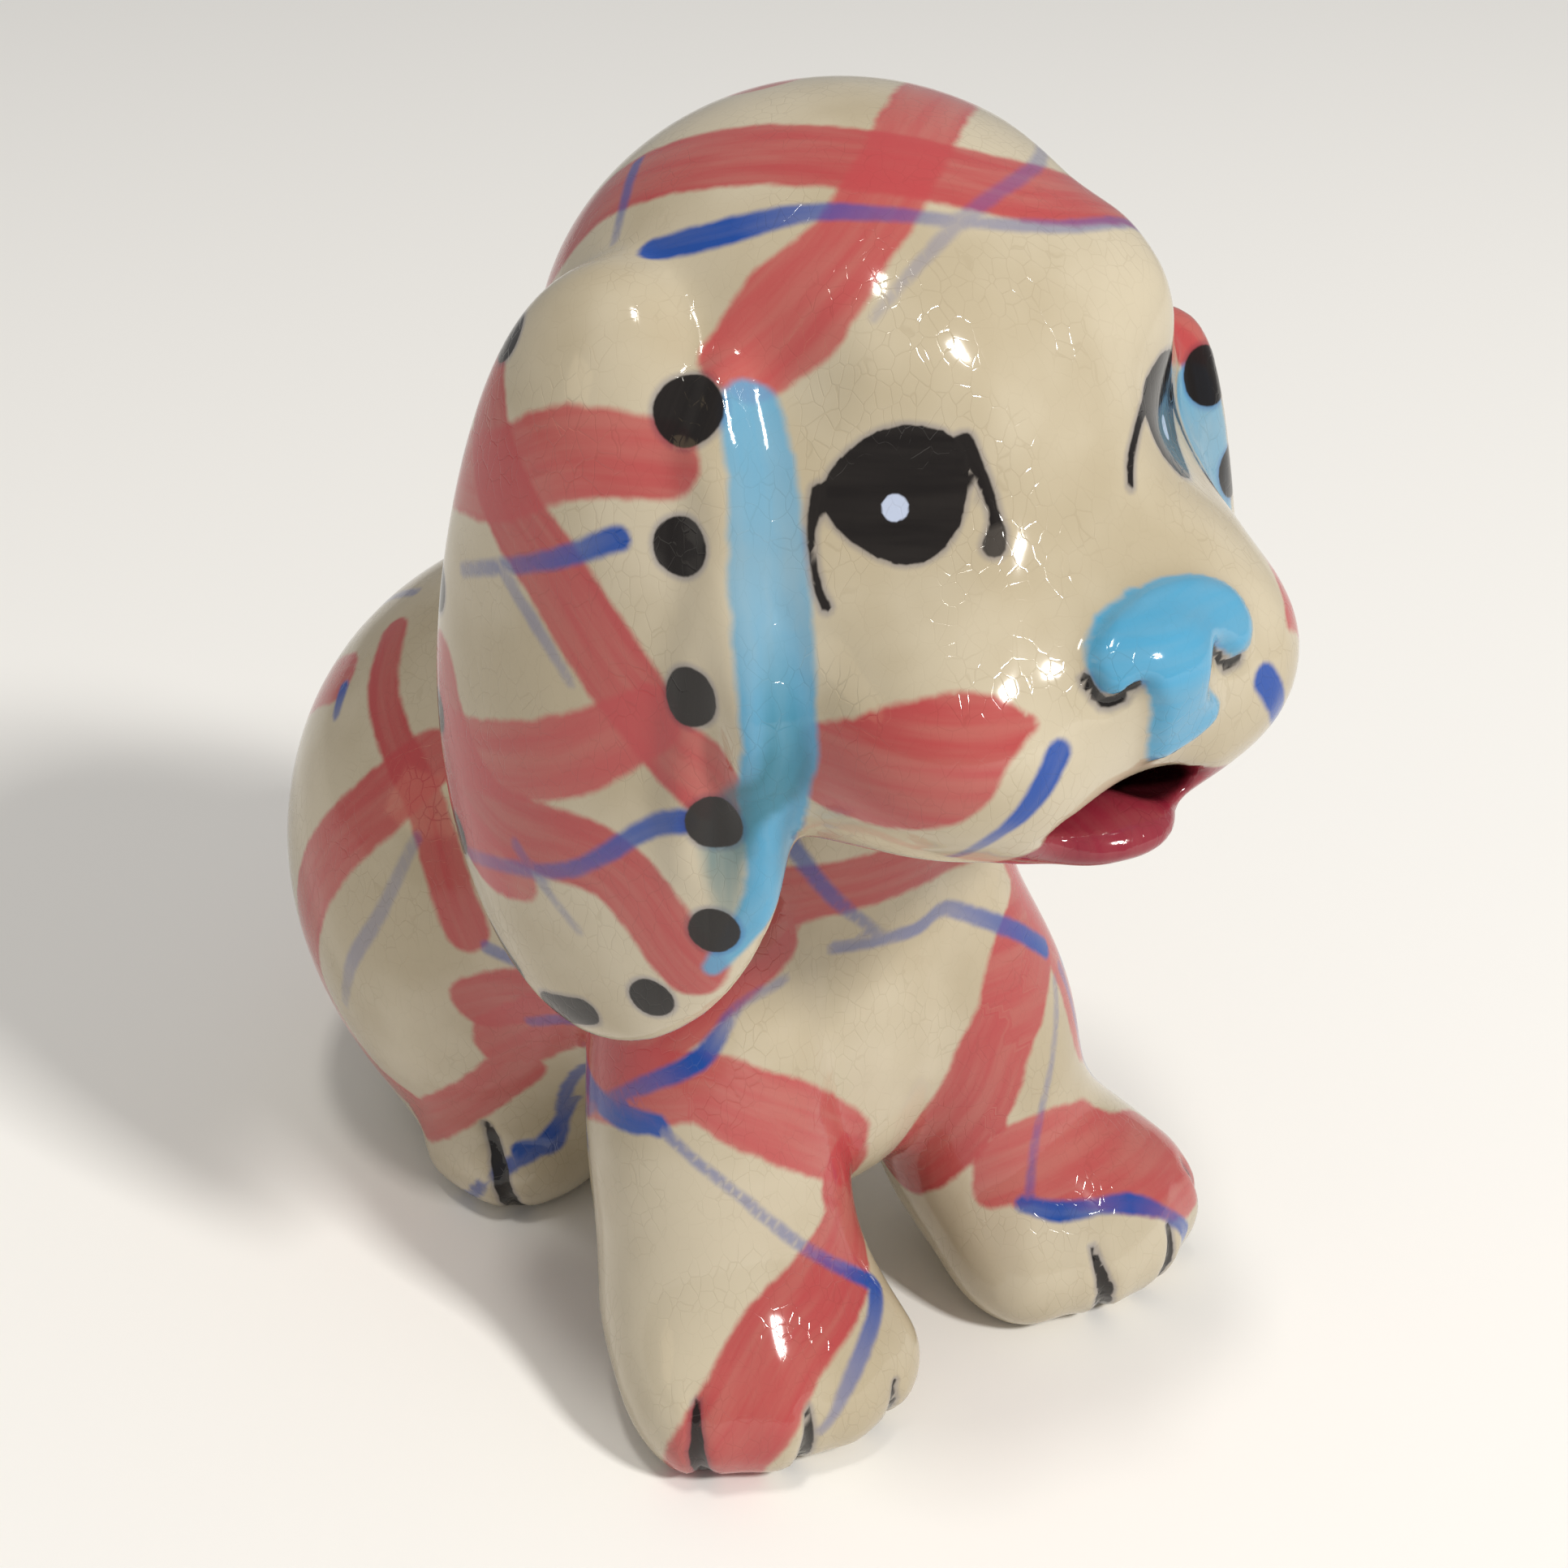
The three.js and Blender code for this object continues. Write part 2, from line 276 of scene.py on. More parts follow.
class Stroke:
    """A stroke of the brush or the modelling tool through places on the castings."""

    FACING = -0.1  # it reaches no face that is turned further from the way it faces

    def __init__(self, places, width, load=1.0):
        count = len(places)
        widths = np.full(count, width) if np.isscalar(width) else width
        loads = np.full(count, load) if np.isscalar(load) else load
        self.at, self.half = even_steps(places, np.array(widths, float) / 2, BRUSH_STEP)
        _, self.load = even_steps(places, loads, BRUSH_STEP)
        steps = np.linalg.norm(np.diff(self.at, axis=0), axis=1)
        self.along = np.concatenate(([0], np.cumsum(steps)))

    def settle(self, tree):
        """Brings the stroke's points down on to a surface."""
        found = [tree.find_nearest(Vector(p)) for p in self.at]
        self.at = np.array([tuple(f[0]) for f in found])
        self.normal = np.array([tuple(f[1]) for f in found])
        tangent = np.gradient(self.at, axis=0) if len(self.at) > 1 else np.array([[0, 0, 1.0]])
        self.side = np.cross(self.normal, tangent)
        self.side /= np.maximum(np.linalg.norm(self.side, axis=1), 1e-9)[:, None]

    def measure(self, surface, reach):
        """The vertices near the stroke, with their distance past its edge, across, along and load."""
        margin = self.half.max() + reach
        low, high = self.at.min(0) - margin, self.at.max(0) + margin
        near = np.flatnonzero(((surface.at > low) & (surface.at < high)).all(1))
        gap = np.linalg.norm(surface.at[near, None] - self.at[None], axis=2) - self.half[None]
        best = gap.argmin(1)
        edge = gap[np.arange(len(near)), best]
        facing = (surface.normal[near] * self.normal[best]).sum(1) > self.FACING
        keep = (edge < reach) & facing
        near, best, edge = near[keep], best[keep], edge[keep]
        across = ((surface.at[near] - self.at[best]) * self.side[best]).sum(1)
        return near, edge, across, self.along[best], self.load[best]


class Blot:
    """Paint that fills an ellipsoid's share of a surface."""

    def __init__(self, middle, radii):
        self.middle, self.radii = np.array(middle), np.array(radii, float)

    def settle(self, tree):
        """A blot stays where it is."""

    def measure(self, surface, reach):
        """As a stroke's: the distance past the ellipsoid is near enough for a soft edge."""
        out = np.linalg.norm((surface.at - self.middle) / self.radii, axis=1)
        edge = (out - 1) * self.radii.min()
        near = np.flatnonzero(edge < reach)
        across = surface.at[near, 0] - self.middle[0]
        return near, edge[near], across, across, np.ones(len(near))


class Patch:
    """Paint or clay that fills a closed outline."""

    FACING = -0.3  # as a stroke's
    DEPTH = 3  # how far past its outline's own depth it reaches
    MARGIN = 4  # how far round its outline the surface may bulge

    def __init__(self, places):
        self.at, _ = even_steps(list(places) + [places[0]], np.zeros(len(places) + 1), BRUSH_STEP)

    def settle(self, tree):
        """Brings the outline down on to a surface, and finds the plane that it lies along."""
        found = [tree.find_nearest(Vector(p)) for p in self.at]
        self.at = np.array([tuple(f[0]) for f in found])
        self.normal = np.array([tuple(f[1]) for f in found]).mean(0)
        self.normal /= np.linalg.norm(self.normal)
        self.middle = self.at.mean(0)
        self.depth = np.abs((self.at - self.middle) @ self.normal).max() + self.DEPTH
        level = np.cross(self.normal, (0, 0, 1.0))
        level /= np.linalg.norm(level)
        self.plane = np.array((level, np.cross(level, self.normal)))

    def measure(self, surface, reach):
        """As a stroke's, with the outline's inside found in its plane."""
        margin = reach + self.MARGIN
        low, high = self.at.min(0) - margin, self.at.max(0) + margin
        near = np.flatnonzero(((surface.at > low) & (surface.at < high)).all(1))
        near = near[surface.normal[near] @ self.normal > self.FACING]
        near = near[np.abs((surface.at[near] - self.middle) @ self.normal) < self.depth]
        gap = np.linalg.norm(surface.at[near, None] - self.at[None], axis=2).min(1)
        x, y = (surface.at[near] @ self.plane.T).T
        rim = self.at @ self.plane.T
        (x0, y0), (x1, y1) = rim.T[:, :, None], np.roll(rim, -1, axis=0).T[:, :, None]
        spans = (y0 > y) != (y1 > y)
        left_of = x < x0 + (x1 - x0) * (y - y0) / np.where(y1 == y0, 1, y1 - y0)
        inside = (spans & left_of).sum(0) % 2 == 1
        edge = np.where(inside, -gap, gap)
        keep = edge < reach
        return near[keep], edge[keep], y[keep], x[keep], np.ones(keep.sum())


def settle_all(surface, strokes):
    """Brings strokes down on to a sculpted surface."""
    tree = surface.tree()
    for stroke in strokes:
        stroke.settle(tree)


def store_paint(surface, paint, strokes):
    """Stores one paint on the vertices: the distance past its edge, across, along and load."""
    cover = np.zeros((len(surface.at), 4))
    cover[:, 0] = FAR
    for k, stroke in enumerate(strokes):
        near, edge, across, along, load = stroke.measure(surface, FAR)
        closer = edge < cover[near, 0]
        near = near[closer]
        cover[near, 0] = edge[closer]
        cover[near, 1] = across[closer] + BRISTLE_SHIFT * k
        cover[near, 2] = along[closer]
        cover[near, 3] = load[closer]
    stored = surface.mesh.attributes.new(paint, "FLOAT_COLOR", "POINT")
    stored.data.foreach_set("color", cover.astype(np.float32).ravel())


# Each paint, from the lowest up: its colour, its strength, how far it spreads past the brush, its edge's
# softness and raggedness in millimetres, and the thinnest that the streaks of the bristles leave it.
PAINTS = {
    "pink_a": ("#B03E42", 0.96, 0.3, 0.5, 0.9, 0.86),
    "pink_b": ("#B54548", 0.94, 0.3, 0.5, 0.9, 0.86),
    "blue": ("#17489C", 1.05, 0.1, 0.45, 0.5, 0.9),
    "turquoise": ("#4A9CC4", 1.0, 0.1, 0.5, 0.6, 0.9),
    # Teal darkens the ear bands' lower parts, under the cheeks: partly a darker overlap of paint, partly
    # painted shade.
    "teal_and_shade": ("#226A78", 1.0, 0.2, 1.0, 0.8, 0.8),
    "red": ("#8C2236", 1.0, 0.0, 0.3, 0.4, 0.95),
    # Painted shade inside the mouth's opening.
    "mouth_shade": ("#2A0A0E", 0.95, 0.2, 0.5, 0.5, 0.95),
    "black": ("#120C0A", 1.0, 0.0, 0.14, 0.25, 0.97),
    "white": ("#B9C4DC", 1.0, 0.0, 0.12, 0.15, 1.0),
}


class Paintwork:
    """Strokes, filled outlines and blots, kept by paint in the order that they are laid."""

    def __init__(self):
        self.layers = {paint: [] for paint in PAINTS}

    def brush(self, paint, places, width, load=1.0):
        self.layers[paint].append(Stroke(places, width, load))

    def fill(self, paint, outline):
        self.layers[paint].append(Patch(outline))

    def blot(self, paint, middle, radii):
        self.layers[paint].append(Blot(middle, radii))


def both(make):
    """What a function makes for the right side and for the left."""
    return [made for side in (RIGHT, LEFT) for made in make(side)]


# ---- The head ---------------------------------------------------------------------------------------
# Clay that joins each ear to the head: a rim along the ear's front edge, as turn and rise on the head and
# ending low on that edge, and a filling behind it, as heights on the ear. Each has its radii.
EAR_RIM = ((77, 30), (72, 14), (69, -1), (64, -14), (60, -24), (61, -36))
EAR_RIM_RADII = (3, 3.6, 3.8, 3.8, 3.6, 3.4, 2.6)
EAR_RIM_END, EAR_RIM_SUNK = (20, -20), 3
EAR_FILLING = (29, 20, 8, -4, -14)
EAR_FILLING_RADII = (3.4, 4, 4, 4, 3.4)
EAR_FILLING_FORWARD, EAR_FILLING_SUNK, EAR_FILLING_AHEAD = 14, 3.4, 2
LEFT_RIM_SHIFT = Vector((-1.5, 2.5, 0))  # the left ear lies further back


def head_coils():
    """The coils of clay on the head."""
    def for_side(side):
        rim = [head(side * turn, rise) + Vector((side, 0, 0)) for turn, rise in EAR_RIM]
        rim.append(ear(side, *EAR_RIM_END) - Vector((side * EAR_RIM_SUNK, 0, 0)))
        inwards = Vector((side * EAR_FILLING_SUNK, EAR_FILLING_AHEAD, 0))
        filling = [ear(side, EAR_FILLING_FORWARD, up) - inwards for up in EAR_FILLING]
        if side == LEFT:
            rim = [place + LEFT_RIM_SHIFT for place in rim]
        return [(rim, EAR_RIM_RADII), (filling, EAR_FILLING_RADII)]

    return both(for_side)


# Outlines on the face, as turn and rise from the middle of the head.
NOSE = ((-11.4, -9.7), (-9.4, -7.8), (-4.6, -5.8), (2.2, -4.8), (9.3, -5), (16.1, -6.4), (20.4, -8.9),
        (20.8, -12.1), (18.5, -14.6), (15.5, -15), (13.1, -13.1), (9, -11.5), (6.4, -12), (6.6, -15),
        (11.5, -20.5), (9.5, -23), (5, -24.8), (0.5, -25.4), (-1.8, -20), (-3, -14.5), (-4.4, -11.2),
        (-6.1, -11.4), (-8, -12.4), (-10.2, -12.2))
NOSTRILS = {RIGHT: ((-12, -11.2), (-10.8, -13.4), (-8.8, -14), (-6.8, -12.8), (-5.6, -11.2)),
            LEFT: ((9.5, -11.5), (12, -13.6), (14.5, -15.8), (17.2, -15.8))}
EYE = ((56, 12), (54, 19), (47.5, 25.5), (40, 28.2), (32.4, 27.6), (26.5, 24.4), (25.4, 18.4), (27.4, 10.4),
       (31.4, 4.8), (37.4, 2.3), (43.8, 3.2), (50.4, 6.4))
LASH = ((56, 14), (56.6, 7), (55.4, 1.7), (53.5, -2.7), (51.6, -5))
GLINT = (40.6, 12)
CHEEK = ((55, -26), (52.5, -21.1), (45.7, -16.9), (38.3, -12.8), (31.4, -10.9), (26.2, -11.2), (22.5, -13),
         (20, -14.7), (23, -16.2), (25.2, -18.5), (26.9, -21.8), (30.9, -24.9), (36.6, -27.7), (43.1, -30.2),
         (49.7, -32), (53.5, -30))
LIP_STROKE = ((17, -19), (19.5, -22.5), (22.5, -26), (26, -29.5), (30, -35))
LEFT_CHEEK_TURN = 9  # the left cheek's paint lies this much further back

NOSE_HEIGHT, NOSE_EDGE = 1.5, 1.2
NOSTRIL_WIDTH, NOSTRIL_DEPTH, NOSTRIL_EDGE = 1.4, 1.1, 0.8
TIP_PASSES = 260  # of smoothing, to take the nose off the muzzle before it is modelled afresh
# The step behind the nose, which its outline folds over, is filled with blots, from the head's middle.
NOSE_STEP = ((-5.8, -36.3, -5.5), (-4.8, -36, -4.6), (-3.8, -35.5, -3.8), (-2.3, -35.3, -3.5),
             (-0.8, -35, -3.3), (0.4, -34.6, -2.8))
NOSE_STEP_RADII = (1.3, 1.3, 1.3)
THROAT = HEAD + Vector((5.7, -31.3, -25.5))  # the mouth's opening over the tongue, whose shade is painted in a dark red
THROAT_RADII = (5.5, 3.6, 1.7)
THROAT_REACH, THROAT_DEPTH = 6, 1.6
TONGUE = HEAD + Vector((2, -31, -29))
TONGUE_RADII = (15.5, 15, 7.5)


def on_face(outline, side=LEFT):
    """Places on the sculpted face, once there is one."""
    return [cast("face", HEAD, sphere_way(side * turn, rise)) for turn, rise in outline]


def shape_skull(surface):
    """Dents and swellings of the skull, and the left ear drawn back."""
    for side in (RIGHT, LEFT):
        surface.push(head(side * 43, 15), 14, 1.8)  # eye socket
        surface.push(head(side * 40, 42), 15, -1.2)  # brow
        surface.push(head(side * 66, 34), 9, 1.4)  # temple
        surface.push(head(side * 34, -20), 14, -1.2)  # cheek
    surface.push(head(LEFT * 52, 10), 12, 0.8)  # the left socket is deeper
    surface.push(head(LEFT * 56, 37), 15, -2.2)  # and the temple over it fuller
    surface.push((HEAD.x - 9, HEAD.y - 36, HEAD.z - 28), 8, -0.8)  # beside the mouth
    surface.pull(ear(LEFT, 20, -22), 26, (-4, 6.5, 0))
    surface.pull(ear(LEFT, 2, 38), 20, (-4.5, 2, -3.5))
    surface.update()


def sculpt_head(surface):
    surface.smooth(HEAD_PASSES)
    shape_skull(surface)
    # The muzzle's tip is smoothed in full within 8 mm, and less and less out to 18 mm.
    from_tip = np.linalg.norm(surface.at - np.array(head(3, -9)), axis=1)
    surface.smooth(TIP_PASSES, np.clip(1.8 - from_tip / 10, 0, 1))
    SKINS["face"] = surface.tree()
    nose = Patch(on_face(NOSE))
    nostrils = [Stroke(on_face(places), NOSTRIL_WIDTH) for places in NOSTRILS.values()]
    settle_all(surface, [nose] + nostrils)
    surface.swell(nose, NOSE_HEIGHT, NOSE_EDGE)
    surface.update()
    for nostril in nostrils:
        surface.swell(nostril, -NOSTRIL_DEPTH, NOSTRIL_EDGE)
    surface.push(THROAT, THROAT_REACH, THROAT_DEPTH)
    surface.update()
    surface.smooth(HEAD_LAST_PASSES)


def paint_crown(work):
    """Bands over the crown of the head."""
    work.brush("pink_a", [head(-150, 5), head(-140, 26), head(-137, 40), head(-124, 60), head(-62, 80),
                          head(42, 67), ear(LEFT, 8, 31), ear(LEFT, 2, 24)],
               [7, 8, 8, 8.5, 8.5, 8.5, 8, 7])
    work.brush("pink_b", [head(137, 30), head(133, 68), head(-55, 80), head(-61, 60), head(-69, 46),
                          head(-76, 35)], [7, 7.5, 7.5, 8, 11, 8])
    work.brush("blue", [head(-110, 42), head(-97, 53), head(-80, 63), head(-18, 68), head(39, 57),
                        ear(LEFT, 9, 29)], [2.8, 3, 2, 1.3, 1.6, 1.5], [1, 1, 0.8, 0.4, 0.5, 0.5])
    work.brush("blue", [head(118, 44), head(70, 67), head(-19, 67), head(-48, 47)], [1.2, 1.4, 1.4, 0.8],
               [0.35, 0.45, 0.35, 0.25])
    work.brush("blue", [head(-142, 44), head(-130, 42), head(-121, 38)], [1.4, 1.2, 0.8], [0.8, 0.7, 0.4])


def paint_nape(work):
    """Bands at the back of the head."""
    work.brush("pink_a", [head(140, 26), head(165, 10), head(-165, 0), head(-140, -8)], 8)
    work.brush("pink_b", [head(-175, 55), head(178, 30), head(170, 8), head(168, -14)], [7, 8, 8, 7])
    work.brush("blue", [head(150, 40), head(172, 22), head(-165, 8), head(-150, -6)], [2.6, 1.8, 1.4, 1.2],
               [1, 0.7, 0.5, 0.4])
    work.brush("blue", [head(-160, 45), head(-170, 25), head(178, 2)], [1.4, 1.4, 1], [0.5, 0.45, 0.35])


def paint_cheek_and_eye(work, side):
    """A cheek, the stroke beside the mouth, an eye with its lash and glint, and a nostril."""
    back = LEFT_CHEEK_TURN if side == LEFT else 0
    work.fill("pink_a", on_face([(turn + back, rise) for turn, rise in CHEEK], side))
    work.brush("blue", on_face([(turn + back / 2, rise) for turn, rise in LIP_STROKE], side),
               [3, 2.8, 2, 1.4, 1], [1, 1, 1, 0.8, 0.5])
    work.fill("black", on_face(EYE, side))
    work.brush("black", on_face(LASH, side), [1.6, 0.9, 0.7, 0.8, 1])
    work.brush("white", on_face([GLINT], side), 2.6)
    work.brush("black", on_face(NOSTRILS[side]), 1.1)


def paint_face(work):
    """The face: cheeks and eyes, the lines beside the nose, the nose, mouth and tongue."""
    for side in (RIGHT, LEFT):
        paint_cheek_and_eye(work, side)
    work.brush("black", on_face(((-26, 25), (-23, 18.2), (-21.3, 12), (-21, 8))), [1.6, 1.3, 1.1, 1.3])
    work.brush("black", on_face(((-21, 8), (-22, 5.6))), [1.6, 2.3], 0.85)
    work.brush("black", on_face(((35.4, 25), (21.4, 20.2), (13.7, 15.1), (10.7, 10.1))), [1.8, 1.1, 1, 0.8])
    work.fill("turquoise", on_face(NOSE))
    work.brush("turquoise", on_face(((-8.6, -9.6), (-5, -8.4), (2, -7.4), (9, -7.6), (15, -9.5))),
               [3.4, 4.4, 4.6, 4.4, 4])
    for way in NOSE_STEP:
        work.blot("turquoise", HEAD + Vector(way), NOSE_STEP_RADII)
    # Painted shade in the mouth's opening, over its shallow dent.
    work.blot("mouth_shade", THROAT, THROAT_RADII)
    # What shows of the left ear beside the face.
    work.brush("black", on_face([(67, 10.5)]), 6.4)
    work.brush("black", on_face([(68, -8.5)]), 6)
    work.brush("pink_a", on_face(((72, 28), (69, 18))), 6)
    work.blot("red", TONGUE, TONGUE_RADII)


# Dots round an ear: forward of and above its middle, and across. Those of the right ear's front come first.
RIGHT_FRONT_DOTS = ((11, 30, 7), (14, 19, 5.8), (17, 5, 6))
EAR_DOTS = ((19, -8, 6), (19, -21, 5.4), (13, -31, 5), (-10, 33, 5.5), (-17, 20, 5), (-19, 4, 5.4),
            (-19, -10, 5.2), (-15, -23, 5))


def paint_ear(work, side):
    """An ear: dots round its edge, a turquoise band in front, and crossed pink and blue strokes."""
    def e(forward, up):
        return ear(side, forward, up)

    for forward, up, across in (RIGHT_FRONT_DOTS if side == RIGHT else ()) + EAR_DOTS:
        work.brush("black", [e(forward, up)], across)
    work.brush("black", [e(5, -36), e(0, -38)], [3.6, 4.4])
    work.brush("black", [e(-10, -33), e(-6, -36)], [2.6, 2.8])
    band_top = head(side * 74, 25) if side == RIGHT else head(67, 8)
    work.brush("turquoise", [band_top, head(side * 66, 0), head(side * 62, -14), head(side * 60, -24),
                             e(22, -8), e(22, -17), e(20, -26)],
               [6, 7.5, 7.5, 7, 6, 4.5, 2], [0.85, 0.7, 0.8, 0.95, 1, 1, 0.9])
    # Teal over the band's lower part, thicker further down: painted shade under the cheek, with some darker
    # overlap of paint.
    work.brush("teal_and_shade", [head(side * 62, -12), head(side * 59, -20), head(side * 58, -27), e(23, -10),
                        e(22.5, -18)], [1.5, 3, 4.5, 4.5, 2.5], [0.1, 0.45, 0.75, 0.8, 0.5])
    work.brush("pink_a", [e(-15, 33), e(-6, 21), e(2, 14), e(10, 5), e(19, -4)], [7, 8.5, 8.5, 8, 7])
    work.brush("pink_b", [e(-16, 18), e(-6, 21), e(3, 26), e(14, 28)], [8, 8.5, 8.5, 7])
    work.brush("pink_b", [e(-17, -12), e(-7, -10), e(5, -5), e(14, 2)], [8, 8, 8, 6])
    work.brush("pink_a", [e(-17, -4), e(-13, -11), e(-5, -16), e(10, -16), e(17, -26)], [7, 8, 8, 8, 7])
    work.brush("pink_b", [e(-17, -18), e(-8, -22), e(-2, -22)], [7, 7, 5], [1.2, 1.2, 0.9])
    work.brush("blue", [e(-12, 9), e(2, 15), e(9, 19)], [1.2, 1.8, 2.4], [0.4, 0.8, 1])
    work.brush("blue", [e(-5, 12), e(0, 8), e(5, 3)], [1.4, 1.6, 1], [0.35, 0.4, 0.3])
    work.brush("blue", [e(-12, -24), e(5, -18), e(13, -11), e(17, -8)], [1.4, 1.6, 2, 2.6],
               [0.4, 0.7, 0.9, 1])
    work.brush("blue", [e(-2, -18), e(6, -25)], [1.4, 0.9], [0.4, 0.3])


def head_paint():
    """All the paint on the head and ears."""
    work = Paintwork()
    paint_crown(work)
    paint_nape(work)
    paint_face(work)
    for side in (RIGHT, LEFT):
        paint_ear(work, side)
    return work


# ---- The body ---------------------------------------------------------------------------------------
# A hind foot's coil of clay, from the middle of the rump.
HIND_FOOT = ((20, -22, -34), (25, -20, -35), (27, -12, -35))
HIND_FOOT_RADIUS = 6
# The lines between the toes of the forepaws: turn and height at the top, turn at the foot.
TOE_LINES = {RIGHT: ((-44, 13.5, -42), (-6, 11.5, -8), (28, 9, 31)),
             LEFT: ((-13, 13, -5), (22, 12, 19), (51, 14, 52))}
HIND_TOE = ((-54, -37), (-51, -43), (-48, -49))
TOE_WIDTHS = (0.8, 1.8, 1.6)
HIND_TOE_WIDTHS = (1, 1.6, 1.8)
TOE_DEPTH, TOE_EDGE = 1.2, 1.1


def body_coils():
    """The coils of clay on the body."""
    def for_side(side):
        foot = [RUMP + Vector((side * x, y, z)) for x, y, z in HIND_FOOT]
        return [(foot, [HIND_FOOT_RADIUS] * len(foot))]

    return both(for_side)


def toe_line(side, turn, top, foot_turn):
    return [leg(side, turn, top), leg(side, (turn + foot_turn) / 2, top / 2), leg(side, foot_turn, 1)]


def hind_toe(side):
    return [rump(-side * turn, rise) for turn, rise in HIND_TOE]


def sculpt_body(surface):
    surface.smooth(BODY_PASSES)
    surface.push(leg(RIGHT, 70, 24), 17, -2.4)  # inside of the right foreleg
    surface.push(leg(RIGHT, 35, 8), 15, -2.2)  # its paw
    surface.push(leg(LEFT, -60, 8), 14, -1.5)  # the left paw
    for side in (RIGHT, LEFT):
        surface.push(rump(side * 100, 20), 38, -1.5)  # haunch
        surface.push(rump(side * 52, -12), 12, 1.6)  # in front of the haunch
    surface.update()
    for side in (RIGHT, LEFT):
        toes = [Stroke(toe_line(side, *line), TOE_WIDTHS) for line in TOE_LINES[side]]
        toes.append(Stroke(hind_toe(side), HIND_TOE_WIDTHS))
        settle_all(surface, toes)
        for toe in toes:
            surface.swell(toe, -TOE_DEPTH, TOE_EDGE)
        surface.update()
    surface.smooth(BODY_LAST_PASSES)
    surface.at[:, 2] = np.maximum(surface.at[:, 2], 0)
    surface.update()


def paint_haunch(work, side):
    """Bands round a haunch and over the shoulder, and the lines between the toes."""
    def r(turn, rise):
        return rump(-side * turn, rise)

    def outside(turn, height):
        return leg(side, side * turn, height)

    work.brush("pink_a", [r(-104, 54), r(-90, 46), r(-79, 40), r(-63, 29), r(-52, 10)], [4, 4.5, 4.5, 5, 6])
    work.brush("pink_b", [r(-66, 38), r(-75, 27), r(-86, 12), r(-94, -6), r(-96, -20), r(-86, -34),
                          r(-74, -38)], [7, 8, 8, 7, 6, 6, 6])
    work.brush("pink_b", [r(-72, -42), r(-58, -32), r(-44, -20)], [6, 6.5, 6])
    work.brush("blue", [r(-104, 40), r(-100, 36)], [2, 1.6], [1, 0.7])
    work.brush("blue", [r(-64, 24), r(-70, 8), r(-77, -4), r(-83, -17)], [1.4, 1.8, 2, 1.2],
               [0.3, 0.35, 0.4, 0.25])
    work.brush("blue", [r(-62, -50), r(-50, -44), r(-40, -40), r(-34, -32)], [1.4, 1.8, 2.4, 1.4],
               [0.6, 0.8, 1, 0.6])
    work.brush("black", hind_toe(side), [0.8, 2.2, 3])
    for line in TOE_LINES[side]:
        work.brush("black", toe_line(side, *line), [0.7, 2.2, 2.4])
    work.brush("pink_a", [r(-50, -6), outside(137, 46), outside(60, 60), outside(-55, 64)], [8, 8.5, 8.5, 8])
    work.brush("blue", [r(-48, 7), outside(140, 42), outside(100, 43), outside(85, 43)],
               [1.6, 2, 2.2, 2.6], [0.6, 0.9, 0.9, 1])


def paint_right_leg(work):
    def right(turn, height):
        return leg(RIGHT, turn, height)

    work.brush("pink_b", [rump(-46, -14), right(-137, 43), right(-75, 48)], [9, 9.5, 8])
    work.brush("pink_b", [right(-75, 48), right(-49, 48), right(-10, 45.5), right(26, 42), right(58, 36),
                          right(85, 31)], [7.5, 8, 9, 9.5, 9, 8])
    work.brush("pink_a", [right(85, 34), right(66, 29), right(48, 23), right(19, 20.5), right(-9, 18),
                          right(-27, 12), right(-37, 6), right(-39, 1)],
               [8, 9.5, 10.5, 10.5, 11, 11.5, 11.5, 11])
    work.brush("blue", [rump(-47, -42), rump(-38, -40), right(-124, 42), right(-64, 51), right(-1, 57),
                        right(53, 59)], [2.4, 1.8, 1.4, 2.4, 1.1, 1], [1, 0.8, 0.6, 1, 0.45, 0.4])
    work.brush("blue", [rump(-41, -8), right(-147, 40), right(-108, 42), right(-87, 43), right(-75, 42),
                        right(-22, 35), right(27, 24), right(44, 17)],
               [1.4, 1.8, 2.6, 2.4, 1.2, 1.1, 1.3, 2], [0.5, 0.8, 1, 1, 0.6, 0.5, 0.6, 1])
    work.brush("blue", [right(44, 16.5), right(32, 15), right(14, 13), right(-2, 8)], [2.2, 2, 2, 1],
               [1, 0.8, 0.6, 0.4])


def paint_left_leg(work):
    def left(turn, height):
        return leg(LEFT, turn, height)

    work.fill("pink_a", [left(-77, 62), left(-40, 58), left(-34, 46), left(-36, 42), left(-47, 37),
                         left(-53, 31), left(-60, 27), left(-75, 33), left(-68, 44), left(-68, 52)])
    work.brush("pink_a", [left(-52, 50), left(-59, 41), left(-66, 33), left(-80, 26), left(-98, 20),
                          chest(4, 23)], [9, 9.5, 9.5, 9.5, 9, 7])
    work.fill("pink_b", [left(-66, 25), left(-52, 28), left(-33, 28.5), left(-8, 27.5), left(16, 26),
                         left(42, 22), left(66, 18), left(60, 10), left(39, 10), left(28, 11.5),
                         left(11, 15), left(-10, 17), left(-39, 18), left(-62, 18)])
    work.brush("pink_b", [left(60, 60), left(40, 46), left(60, 34), left(110, 30)], [6, 7, 7.5, 7])
    work.brush("blue", [left(-42, 18), left(-25, 17), left(-6, 17), left(9, 16), left(23, 13), left(33, 8)],
               [1.8, 2.6, 1.8, 2.6, 1.4, 2.4], [0.9, 1, 0.8, 1, 0.7, 1])
    work.brush("blue", [left(-17, 44), left(-32, 31), left(-40, 18)], [1, 0.9, 0.9], [0.35, 0.4, 0.5])
    work.brush("blue", [left(20, 44), left(60, 30), left(100, 14)], [1.4, 1.6, 2.2], [0.5, 0.6, 1])


